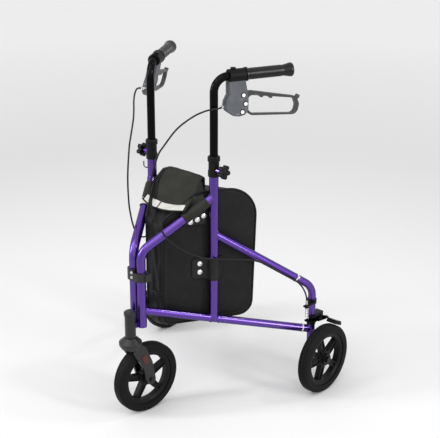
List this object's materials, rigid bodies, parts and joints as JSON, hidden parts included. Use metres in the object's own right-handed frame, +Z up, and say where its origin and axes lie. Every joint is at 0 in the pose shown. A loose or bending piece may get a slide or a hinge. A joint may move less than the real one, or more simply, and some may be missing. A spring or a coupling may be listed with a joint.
{
  "type": "three wheel rollator",
  "caption": "Folding three wheel walking aid with tubular side frames hinged at the front, a swivelling front caster, loop brake levers on adjustable handles, cable brakes and a bag.",
  "frame": {"origin": "on the floor, under the middle of the object's length and width", "axes": "+Z up, -Y to the front where the caster is, +X to the user's left"},
  "size_m": [0.6618, 0.6194, 0.9621],
  "materials": {
    "purple_paint": "glossy metallic purple",
    "black_paint": "gloss black",
    "black_plastic": "moulded black",
    "grey_plastic": "moulded dark grey",
    "wheel_plastic": "moulded black",
    "tyre": "dull black rubber",
    "grip_rubber": "ribbed black rubber",
    "rubber_pad": "black",
    "steel": "zinc plated",
    "dark_steel": "blackened",
    "chrome": "bright",
    "white_plastic": "white nylon",
    "red_plastic": "plain red",
    "bag_vinyl": "black grained vinyl",
    "reflective_tape": "pale reflective tape",
    "cable_sheath": "black sheath"
  },
  "bodies": {
    "front_bracket": {"hinge_block": "black_plastic", "lower_bracket": "purple_paint", "stem_housing": "black_plastic", "hinge_fasteners": "steel", "bag": "bag_vinyl", "bag_tape": "reflective_tape"},
    "caster": {"caster_fork": "black_plastic", "fork_inlays": "red_plastic", "front_axle": "dark_steel"},
    "front_wheel_set": {"front_wheel": "wheel_plastic", "front_tyre": "tyre"},
    "left_frame": {"front_tube_left": "purple_paint", "upright_left": "purple_paint", "lower_rail_left": "purple_paint", "rear_tube_left": "purple_paint", "collar_left": "black_plastic", "axle_bolts_left": "dark_steel", "brake_bracket_left": "black_plastic", "brake_spring_left": "chrome", "cable_ties_left": "white_plastic", "bag_straps_left": "bag_vinyl", "bag_snaps_left": "chrome", "brake_cable_left": "cable_sheath"},
    "left_handle": {"handle_tube_left": "black_paint", "grip_left": "grip_rubber", "brake_housing_left": "grey_plastic", "housing_rivets_left": "chrome", "cable_adjuster_left": "chrome"},
    "left_lever": {"brake_lever_left": "black_plastic"},
    "left_knob": {"height_knob_left": "black_plastic"},
    "left_brake": {"brake_arm_left": "black_paint", "brake_shoe_left": "rubber_pad"},
    "left_wheel": {"rear_wheel_left": "wheel_plastic", "rear_tyre_left": "tyre"},
    "right_frame": {"front_tube_right": "purple_paint", "upright_right": "purple_paint", "lower_rail_right": "purple_paint", "rear_tube_right": "purple_paint", "collar_right": "black_plastic", "axle_bolts_right": "dark_steel", "brake_bracket_right": "black_plastic", "brake_spring_right": "chrome", "cable_ties_right": "white_plastic", "bag_straps_right": "bag_vinyl", "bag_snaps_right": "chrome", "brake_cable_right": "cable_sheath", "cable_hook_right": "black_paint"},
    "right_handle": {"handle_tube_right": "black_paint", "grip_right": "grip_rubber", "brake_housing_right": "grey_plastic", "housing_rivets_right": "chrome", "cable_adjuster_right": "chrome"},
    "right_lever": {"brake_lever_right": "black_plastic"},
    "right_knob": {"height_knob_right": "black_plastic"},
    "right_brake": {"brake_arm_right": "black_paint", "brake_shoe_right": "rubber_pad"},
    "right_wheel": {"rear_wheel_right": "wheel_plastic", "rear_tyre_right": "tyre"}
  },
  "joints": [
    {"name": "caster_swivel", "type": "hinge", "parent": "front_bracket", "child": "caster", "pos_m": [0, -0.25557, 0.26], "axis": [0, 0, 1], "continuous": true},
    {"name": "front_roll", "type": "hinge", "parent": "caster", "child": "front_wheel_set", "pos_m": [0.00585, -0.20793, 0.1015], "axis": [0.9925, -0.1219, 0], "continuous": true},
    {"name": "left_fold", "type": "hinge", "parent": "front_bracket", "child": "left_frame", "pos_m": [0.0135, -0.22307, 0.35], "axis": [0, 0, 1], "range_deg": [0, 24], "deforming": ["bag", "bag_tape"]},
    {"name": "left_height", "type": "slide", "parent": "left_frame", "child": "left_handle", "axis": [0, 0, 1], "range_m": [-0.1, 0.03], "deforming": ["brake_cable_left"]},
    {"name": "left_knob_turn", "type": "hinge", "parent": "left_frame", "child": "left_knob", "pos_m": [0.1455, -0.0464, 0.692], "axis": [1, 0, 0], "continuous": true},
    {"name": "left_squeeze", "type": "hinge", "parent": "left_handle", "child": "left_lever", "pos_m": [0.14743, 0.02531, 0.888], "axis": [0.9135, -0.4067, 0], "range_deg": [0, 14], "stiffness_Nm_per_rad": 0.6, "springref_deg": -11.46},
    {"name": "left_brake_rock", "type": "hinge", "parent": "left_frame", "child": "left_brake", "pos_m": [0.278, 0.22393, 0.214], "axis": [-1, 0, 0], "range_deg": [0, 3.5], "deforming": ["brake_spring_left"]},
    {"name": "left_roll", "type": "hinge", "parent": "left_frame", "child": "left_wheel", "pos_m": [0.309, 0.20821, 0.1015], "axis": [1, 0, 0], "continuous": true},
    {"name": "right_fold", "type": "hinge", "parent": "front_bracket", "child": "right_frame", "pos_m": [-0.0135, -0.22307, 0.35], "axis": [0, 0, -1], "range_deg": [0, 24], "deforming": ["bag", "bag_tape"]},
    {"name": "right_height", "type": "slide", "parent": "right_frame", "child": "right_handle", "axis": [0, 0, 1], "range_m": [-0.1, 0.03], "deforming": ["brake_cable_right"]},
    {"name": "right_knob_turn", "type": "hinge", "parent": "right_frame", "child": "right_knob", "pos_m": [-0.1455, -0.0464, 0.692], "axis": [-1, 0, 0], "continuous": true},
    {"name": "right_squeeze", "type": "hinge", "parent": "right_handle", "child": "right_lever", "pos_m": [-0.16564, 0.01529, 0.88955], "axis": [0.8403, 0.4851, -0.2419], "range_deg": [0, 14], "stiffness_Nm_per_rad": 0.6, "springref_deg": -11.46},
    {"name": "right_brake_rock", "type": "hinge", "parent": "right_frame", "child": "right_brake", "pos_m": [-0.278, 0.22393, 0.214], "axis": [-1, 0, 0], "range_deg": [0, 3.5], "deforming": ["brake_spring_right"]},
    {"name": "right_roll", "type": "hinge", "parent": "right_frame", "child": "right_wheel", "pos_m": [-0.309, 0.20821, 0.1015], "axis": [1, 0, 0], "continuous": true}
  ],
  "couplings": [
    {"joint": "left_brake_rock", "follows": "left_squeeze", "ratio": 0.25},
    {"joint": "right_brake_rock", "follows": "right_squeeze", "ratio": 0.25},
    {"joint": "right_fold", "follows": "left_fold", "ratio": 1}
  ]
}
